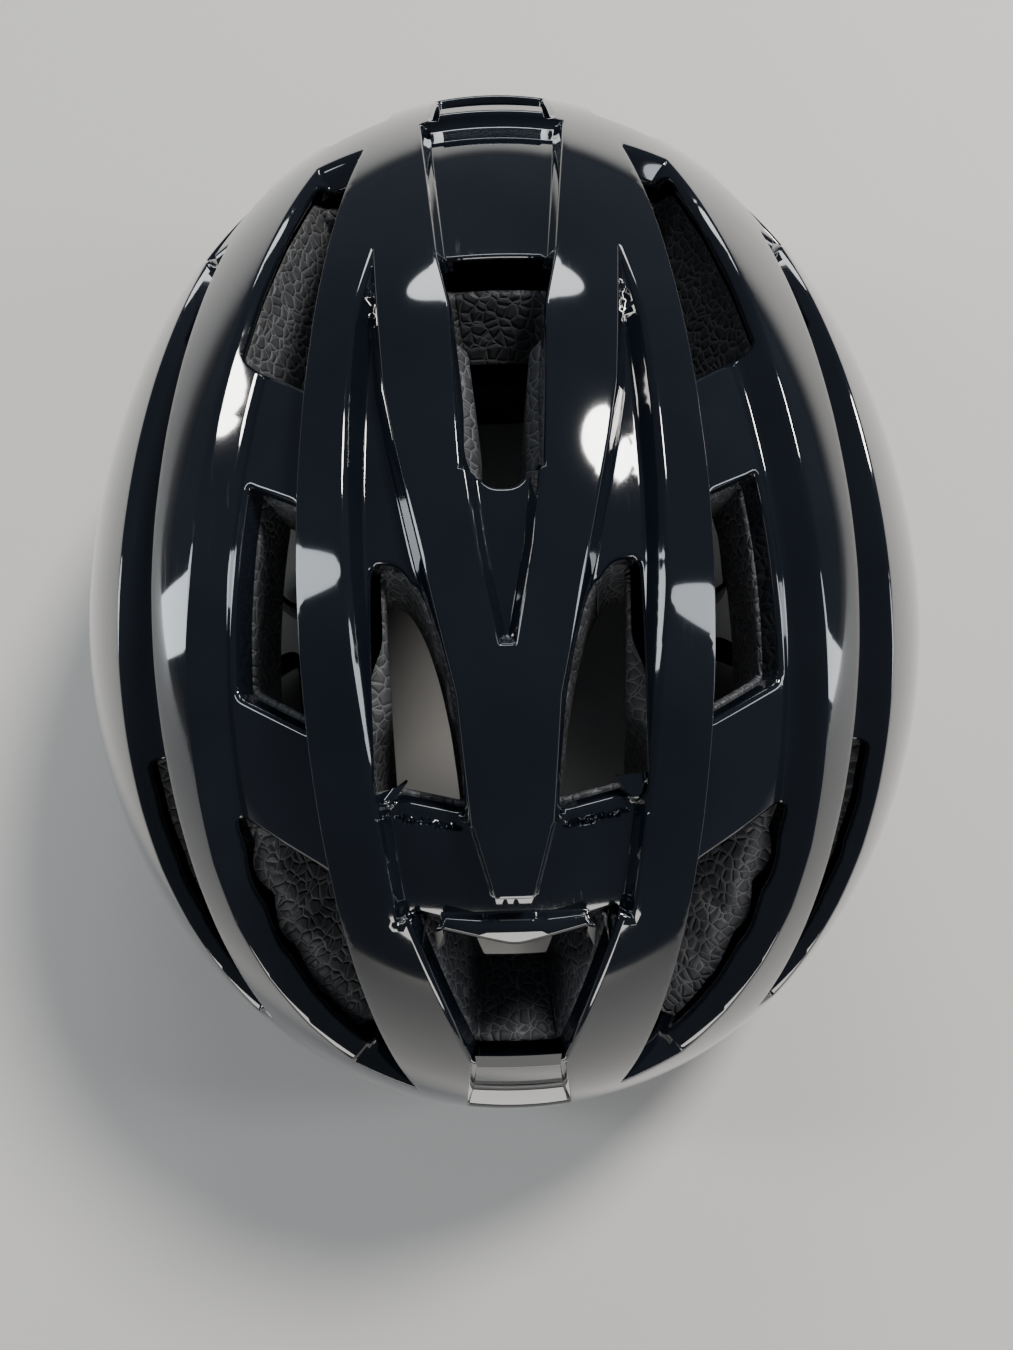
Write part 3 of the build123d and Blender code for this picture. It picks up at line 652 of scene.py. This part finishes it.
def foam_material():
    """Dark bead foam: pale cell edges, dimpled beads."""
    made, shader = material("eps_foam", (0.05, 0.05, 0.055), 0.55)
    n = Nodes(made)
    place = n.add("TexCoord").outputs["Object"]
    warp = n.add("TexNoise", Scale=180.0, Detail=1.0)
    n.join(place, warp.inputs["Vector"])
    shift = n.add("MixRGB", blend_type="ADD")
    shift.inputs["Fac"].default_value = 0.0015
    n.join(place, shift.inputs["Color1"])
    n.join(warp.outputs["Color"], shift.inputs["Color2"])
    cells = n.add("TexVoronoi", feature="DISTANCE_TO_EDGE", Scale=420.0)
    n.join(shift.outputs["Color"], cells.inputs["Vector"])
    tone = n.add("TexVoronoi", feature="F1", Scale=420.0)
    n.join(shift.outputs["Color"], tone.inputs["Vector"])
    edge = n.ramp(cells.outputs["Distance"], [(0.0, (0.20, 0.21, 0.22)), (0.05, (0.062, 0.064, 0.070))])
    n.join(edge, shader.inputs["Base Color"])
    n.join(n.ramp(tone.outputs["Distance"], [(0.0, 0.42), (0.8, 0.7)]), shader.inputs["Roughness"])
    n.bump(shader, n.ramp(cells.outputs["Distance"], [(0.0, 0.0), (0.22, 1.0)]), 0.55, 0.0006)
    return made


def grained_material(name, colour, roughness, scale, strength, distance=0.0002, **sockets):
    """Moulded plastic or rubber with a fine grain."""
    made, shader = material(name, colour, roughness, **sockets)
    n = Nodes(made)
    place = n.add("TexCoord").outputs["Object"]
    grain = n.add("TexNoise", Scale=scale, Detail=4.0, Roughness=0.6)
    n.join(place, grain.inputs["Vector"])
    n.bump(shader, grain.outputs["Fac"], strength, distance)
    wear = n.add("TexNoise", Scale=scale * 0.06, Detail=3.0)
    n.join(place, wear.inputs["Vector"])
    low, high = max(0.02, roughness - 0.08), min(1.0, roughness + 0.12)
    n.join(n.ramp(wear.outputs["Fac"], [(0.35, low), (0.7, high)]), shader.inputs["Roughness"])
    paler = tuple(1.6 * c + 0.004 for c in colour)
    n.join(n.ramp(wear.outputs["Fac"], [(0.3, colour), (0.85, paler)]), shader.inputs["Base Color"])
    return made


def knit_material():
    """Brushed black knit over foam."""
    made, shader = material("pad_fabric", (0.018, 0.018, 0.020), 0.95, Sheen_Weight=0.5, Sheen_Roughness=0.5)
    n = Nodes(made)
    place = n.add("TexCoord").outputs["Object"]
    loops = n.add("TexVoronoi", feature="F1", Scale=1100.0, Randomness=0.25)
    n.join(place, loops.inputs["Vector"])
    fluff = n.add("TexNoise", Scale=400.0, Detail=4.0)
    n.join(place, fluff.inputs["Vector"])
    n.bump(shader, loops.outputs["Distance"], 0.6, 0.0004)
    n.join(n.ramp(fluff.outputs["Fac"], [(0.3, (0.012, 0.012, 0.014)), (0.75, (0.045, 0.045, 0.048))]),
           shader.inputs["Base Color"])
    return made


def woven_material():
    """Black herringbone webbing."""
    made, shader = material("webbing", (0.014, 0.014, 0.015), 0.7, Sheen_Weight=0.3, Sheen_Roughness=0.4)
    n = Nodes(made)
    place = n.add("TexCoord").outputs["UV"]
    rib = n.add("TexWave", wave_type="BANDS", bands_direction="DIAGONAL", Scale=2.2, Distortion=0.3)
    n.join(place, rib.inputs["Vector"])
    thread = n.add("TexWave", wave_type="BANDS", bands_direction="X", Scale=7.0, Distortion=0.2)
    n.join(place, thread.inputs["Vector"])
    mix = n.add("MixRGB", blend_type="MULTIPLY")
    mix.inputs["Fac"].default_value = 0.7
    n.join(rib.outputs["Fac"], mix.inputs["Color1"])
    n.join(thread.outputs["Fac"], mix.inputs["Color2"])
    n.bump(shader, mix.outputs["Color"], 0.8, 0.0003)
    n.join(n.ramp(mix.outputs["Color"], [(0.0, (0.006, 0.006, 0.007)), (1.0, (0.040, 0.040, 0.043))]),
           shader.inputs["Base Color"])
    return made


def steel_material():
    """Brushed steel pins."""
    made, shader = material("steel", (0.55, 0.55, 0.57), 0.3, Metallic=1.0)
    n = Nodes(made)
    place = n.add("TexCoord").outputs["Object"]
    brush = n.add("TexNoise", Scale=700.0, Detail=3.0)
    n.join(place, brush.inputs["Vector"])
    n.join(n.ramp(brush.outputs["Fac"], [(0.3, 0.22), (0.7, 0.42)]), shader.inputs["Roughness"])
    return made


MATERIALS = {
    "gloss_shell": gloss_material(),
    "eps_foam": foam_material(),
    "pad_fabric": knit_material(),
    "webbing": woven_material(),
    "nylon": grained_material("nylon", (0.016, 0.016, 0.017), 0.42, 1500.0, 0.25),
    "dial_rubber": grained_material("dial_rubber", (0.020, 0.020, 0.021), 0.62, 2200.0, 0.35),
    "steel": steel_material(),
    "sheath_leather": grained_material("sheath_leather", (0.015, 0.013, 0.012), 0.5, 900.0, 0.7, 0.0004),
    "hook": grained_material("hook", (0.03, 0.03, 0.03), 0.9, 2500.0, 1.0, 0.0005),
    "label": grained_material("label", (0.78, 0.82, 0.86), 0.35, 600.0, 0.1),
}


def finish_piece(piece, body, slot, *replaced):
    """Gives a new piece its material and its body, and hides the CAD nodes that it stands for."""
    piece.data.materials.clear()
    piece.data.materials.append(MATERIALS[slot])
    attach(piece, body)
    if replaced:
        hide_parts(*replaced)
    return piece


def dress_cad_nodes():
    """Every CAD node that still shows takes the finish of its slot."""
    slots = {part["node"]: part["material_slot"] for part in frame["record"]["subparts"]}
    for name, node in frame["nodes"].items():
        finish = MATERIALS[slots[name]]
        if not node.material_slots:
            node.data.materials.append(finish)
        for place in node.material_slots:
            place.material = finish


# ---- shells and liner ----
def make_shells():
    places, faces, normals, flat, foam_lines = shell_mesh()
    count = len(flat)
    tilt = np.hypot(flat[:, 0], flat[:, 1])
    heights = places[:, 2]
    seam_z = CENTRE_Z + LOW_DROP * math.cos(math.radians(SEAM_TILT))
    upper, lower = [], []
    for face in faces:
        if max(face) < count:
            is_upper = tilt[list(face)].mean() < SEAM_TILT
        else:
            is_upper = heights[list(face)].mean() > seam_z
        (upper if is_upper else lower).append(face)
    finish_piece(new_object("shell_top", places, upper, normals), "helmet", "gloss_shell", "top_shell")
    finish_piece(new_object("shell_rim", places, lower, normals), "helmet", "gloss_shell", "lower_rim_shell")
    foam_places, foam_faces = foam_mesh(foam_lines)
    foam = new_object("foam_liner", foam_places, foam_faces)
    finish_piece(foam, "helmet", "eps_foam", "eps_liner")
    return foam


# ---- comfort pads ----
PAD_TENSION = 4.0
PAD_FRAMES = 20
PAD_VOXEL = 0.0022
PAD_SHRINK = 0.0005
PAD_SWELL = 0.0012
PADS = ("brow_pad", "back_pad", "crown_pad_right", "crown_pad_left", "side_pad_right", "side_pad_left")


def modified(piece, kind, name, **settings):
    """Adds a modifier, applies it and leaves the result in the piece's mesh."""
    modifier = piece.modifiers.new(name, kind)
    for key, value in settings.items():
        setattr(modifier, key, value)
    apply_all(piece)


def apply_all(piece):
    graph = bpy.context.evaluated_depsgraph_get()
    mesh = bpy.data.meshes.new_from_object(piece.evaluated_get(graph))
    piece.modifiers.clear()
    piece.data = mesh


def vertex_places(mesh):
    flat = np.empty(3 * len(mesh.vertices), np.float32)
    mesh.vertices.foreach_get("co", flat)
    return flat.reshape(-1, 3)


def pad_copy(node):
    """A fabric-covered foam pad in the space of its CAD solid, swollen between its edges."""
    source = frame["nodes"][node]
    piece = bpy.data.objects.new(node + "_cover", source.data.copy())
    bpy.context.scene.collection.objects.link(piece)
    modified(piece, "REMESH", "remesh", mode="VOXEL", voxel_size=PAD_VOXEL, use_smooth_shade=True)
    places, normals = vertex_places(piece.data), np.empty(3 * len(piece.data.vertices), np.float32)
    piece.data.vertices.foreach_get("normal", normals)
    places = places - normals.reshape(-1, 3) * PAD_SHRINK
    piece.data.vertices.foreach_set("co", places.ravel())
    piece.data.update()
    cloth = piece.modifiers.new("cloth", "CLOTH")
    cloth.settings.use_pressure = True
    cloth.settings.uniform_pressure_force = PAD_TENSION
    cloth.settings.effector_weights.gravity = 0
    for number in range(1, PAD_FRAMES + 1):
        bpy.context.scene.frame_set(number)
    apply_all(piece)
    moved = vertex_places(piece.data) - places
    length = np.linalg.norm(moved, axis=1)
    share = np.minimum(1, PAD_SWELL / np.maximum(length, 1e-9))
    piece.data.vertices.foreach_set("co", (places + moved * share[:, None]).ravel())
    bpy.context.scene.frame_set(1)
    modified(piece, "SMOOTH", "soften", factor=0.5, iterations=4)
    modified(piece, "SUBSURF", "subdivide", levels=1, render_levels=1)
    piece.data.polygons.foreach_set("use_smooth", np.ones(len(piece.data.polygons), bool))
    finish_piece(piece, "helmet", "pad_fabric", node)


# ---- webbing ----
WEB = 0.0011


def smooth_path(points, corner, step=0.0012):
    """An open plan curve through the points, corners rounded, in even steps."""
    line = [np.array(points[0], float)]
    for i in range(1, len(points) - 1):
        before, here, after = (np.array(points[k], float) for k in (i - 1, i, i + 1))
        near = min(corner, 0.48 * np.linalg.norm(before - here))
        far = min(corner, 0.48 * np.linalg.norm(after - here))
        start = here + (before - here) / np.linalg.norm(before - here) * near
        end = here + (after - here) / np.linalg.norm(after - here) * far
        for t in np.linspace(0, 1, 12):
            line.append((1 - t) ** 2 * start + 2 * t * (1 - t) * here + t * t * end)
    line.append(np.array(points[-1], float))
    line = np.array(line)
    lengths = np.r_[0, np.cumsum(np.linalg.norm(np.diff(line, axis=0), axis=1))]
    at = np.linspace(0, lengths[-1], max(8, int(lengths[-1] / step)))
    return np.stack([np.interp(at, lengths, line[:, k]) for k in (0, 1)], axis=1), at


def ribbon(name, node, points, corner, low, high, body="helmet"):
    """Webbing on edge along a plan curve: low(s) and high(s) give its edges' heights at length s."""
    path, at = smooth_path(points, corner)
    along = np.gradient(path, axis=0)
    along /= np.linalg.norm(along, axis=1)[:, None]
    side = np.stack([along[:, 1], -along[:, 0]], axis=1)
    section = []
    for across in np.linspace(0, 1, 17):
        selvedge = 1 + 0.25 * math.exp(-((min(across, 1 - across) / 0.06) ** 2))
        section.append((across, 0.5 * selvedge))
    profile = [(a, h) for a, h in section] + [(a, -h) for a, h in reversed(section)]
    places, uvs, count = [], [], len(profile)
    for i, (spot, s) in enumerate(zip(path, at)):
        bottom, top = low(s), high(s)
        wave = 0.00025 * math.sin(s / 0.009) + 0.0002 * math.sin(s / 0.0037 + 1)
        for across, out in profile:
            tilt = wave * math.cos(math.pi * across)
            xy = spot + side[i] * (out * WEB + tilt)
            places.append((xy[0], xy[1], bottom + (top - bottom) * across))
            uvs.append((s * 100, across))
    faces = []
    for i in range(len(path) - 1):
        for k in range(count):
            a, b = i * count + k, i * count + (k + 1) % count
            faces.append((a, b, b + count, a + count))
    faces.append(tuple(reversed(range(count))))
    faces.append(tuple(range(len(places) - count, len(places))))
    mesh = bpy.data.meshes.new(name)
    mesh.from_pydata(places, [], faces)
    layer = mesh.uv_layers.new(name="UVMap")
    for loop in mesh.loops:
        layer.data[loop.index].uv = uvs[loop.vertex_index]
    mesh.polygons.foreach_set("use_smooth", np.ones(len(mesh.polygons), bool))
    piece = bpy.data.objects.new(name, mesh)
    bpy.context.scene.collection.objects.link(piece)
    piece.data.materials.append(MATERIALS["webbing"])
    if body:
        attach(piece, body)
    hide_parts(node)
    return piece


def make_webbing():
    """The three runs of webbing on each side, on their CAD routes."""
    chin_low, chin_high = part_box("chin_strap_right")
    web_low, web_high = chin_low[2], chin_high[2]
    rear_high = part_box("rear_strap_right")[1][2]
    front_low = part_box("front_strap_right")[0]
    anchor_front, anchor_rear = front_low[1] + 0.0006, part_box("rear_strap_right")[1][1] - 0.0006
    buckle_y = (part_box("buckle_plug")[0][1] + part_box("buckle_plug")[1][1]) / 2
    plug_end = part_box("buckle_plug")[1][0] + 0.0006
    chin_x = (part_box("chin_sheath")[0][0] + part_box("chin_sheath")[1][0]) / -2
    rise = rear_high - web_high

    def level(height):
        return lambda s: height

    def rising(height):
        return lambda s: height + rise * (1 - min(1, max(0, (s - 0.010) / 0.010)))

    for side, end in ((1, "right"), (-1, "left")):
        front = [(0.0698, anchor_front), (0.0728, -0.012), (0.060, -0.005), (0.0575, -0.032),
                 (0.0505, -0.032), (0.049, -0.0108)]
        rear = [(0.0656, anchor_rear), (0.0698, 0.014), (0.060, 0.006), (0.0575, 0.032),
                (0.0505, 0.032), (0.049, 0.0108)]
        chin = [(chin_x, -0.0112), (chin_x, buckle_y), (plug_end, buckle_y)]
        for label, route, corner, low, high in (
            ("front", front, 0.0055, level(web_low), level(web_high)),
            ("rear", rear, 0.0055, rising(web_low), rising(web_high)),
            ("chin", chin, 0.014, level(web_low), level(web_high)),
        ):
            node = f"{label}_strap_{end}"
            joined = node == "chin_strap_right"
            points = [(side * x, y) for x, y in route]
            piece = ribbon(node + "_web", node, points, corner, low, high, None if joined else "helmet")
            if joined:
                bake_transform(piece)


# ---- small mouldings ----
BEVELLED = {
    "cradle": 0.0005, "housing_cover": 0.0003, "side_band_right": 0.0003, "side_band_left": 0.0003,
    "buckle_socket": 0.0005, "buckle_plug": 0.0005, "buckle_arm_upper": 0.0003, "buckle_arm_lower": 0.0003,
    "strap_divider_right": 0.0004, "strap_divider_left": 0.0004, "keeper_loop": 0.0003, "chin_sheath": 0.0003,
    "dial_knob": 0.0004, "dial_cap": 0.0002, "occipital_pad_right": 0.0004, "occipital_pad_left": 0.0004,
    "blank_label": 0.0001,
}


def soften_edges():
    """Small moulding radii on the hard CAD nodes that show."""
    for node, width in BEVELLED.items():
        bevel = frame["nodes"][node].modifiers.new("moulding_radius", "BEVEL")
        bevel.width = width
        bevel.segments = 2
        bevel.limit_method = "ANGLE"
        bevel.angle_limit = math.radians(40)
        bevel.harden_normals = False


# ---- camera, light and floor ----
SENSOR_HEIGHT = 36.0
LENS_SHARE = 0.8815  # focal length over the frame's height
CAMERA_PLACE = Vector((-0.0014, -0.1164, 0.3453))
LOOK_DOWN, HEADING, ROLL = (math.radians(a) for a in (73.0, 0.94, -0.72))


def make_camera():
    level = math.cos(LOOK_DOWN)
    forward = Vector((math.sin(HEADING) * level, math.cos(HEADING) * level, -math.sin(LOOK_DOWN)))
    right = Vector((math.cos(HEADING), -math.sin(HEADING), 0))
    up = right.cross(forward)
    turned_right = right * math.cos(ROLL) + up * math.sin(ROLL)
    turned_up = -right * math.sin(ROLL) + up * math.cos(ROLL)
    data = bpy.data.cameras.new("camera")
    data.sensor_width = SENSOR_HEIGHT
    data.lens = SENSOR_HEIGHT * LENS_SHARE
    data.clip_start = 0.01
    camera = bpy.data.objects.new("camera", data)
    camera.matrix_world = Matrix.Translation(CAMERA_PLACE) @ Matrix(
        (turned_right, turned_up, -forward)
    ).transposed().to_4x4()
    bpy.context.scene.collection.objects.link(camera)
    bpy.context.scene.camera = camera


def area_light(name, place, target, size, power, colour=(1, 1, 1)):
    data = bpy.data.lights.new(name, "AREA")
    data.shape = "ELLIPSE"
    data.size, data.size_y = size
    data.energy = power
    data.color = colour
    light = bpy.data.objects.new(name, data)
    light.location = place
    light.rotation_euler = (Vector(target) - Vector(place)).to_track_quat("-Z", "Y").to_euler()
    bpy.context.scene.collection.objects.link(light)


def make_stage():
    mesh = bpy.data.meshes.new("floor")
    reach = 3.0
    corners = [(-reach, -reach, 0), (reach, -reach, 0), (reach, reach, 0), (-reach, reach, 0)]
    mesh.from_pydata(corners, [], [(0, 1, 2, 3)])
    floor = bpy.data.objects.new("floor", mesh)
    bpy.context.scene.collection.objects.link(floor)
    made, _ = material("floor", (0.74, 0.72, 0.69), 0.8)
    mesh.materials.append(made)
    world = bpy.data.worlds.new("world")
    world.use_nodes = True
    background = world.node_tree.nodes["Background"]
    background.inputs["Color"].default_value = (0.72, 0.80, 0.92, 1)
    background.inputs["Strength"].default_value = 0.10
    bpy.context.scene.world = world
    aim = (0, 0, 0.08)
    area_light("key", (0.55, 0.55, 1.15), aim, (0.30, 0.30), 16, (1.0, 0.97, 0.93))
    area_light("left_strip", (-1.1, 0.1, 0.45), aim, (0.25, 1.6), 7, (0.86, 0.93, 1.0))
    area_light("right_strip", (1.2, -0.1, 0.5), aim, (0.25, 1.6), 6, (0.90, 0.95, 1.0))
    area_light("front_strip", (0.0, -1.4, 0.35), aim, (1.4, 0.3), 7, (1.0, 0.98, 0.95))
    area_light("rear_strip", (0.0, 1.2, 0.9), aim, (0.9, 0.25), 5, (0.92, 0.96, 1.0))


make_camera()
make_stage()
dress_cad_nodes()
make_shells()
for pad_node in PADS:
    pad_copy(pad_node)
make_webbing()
soften_edges()
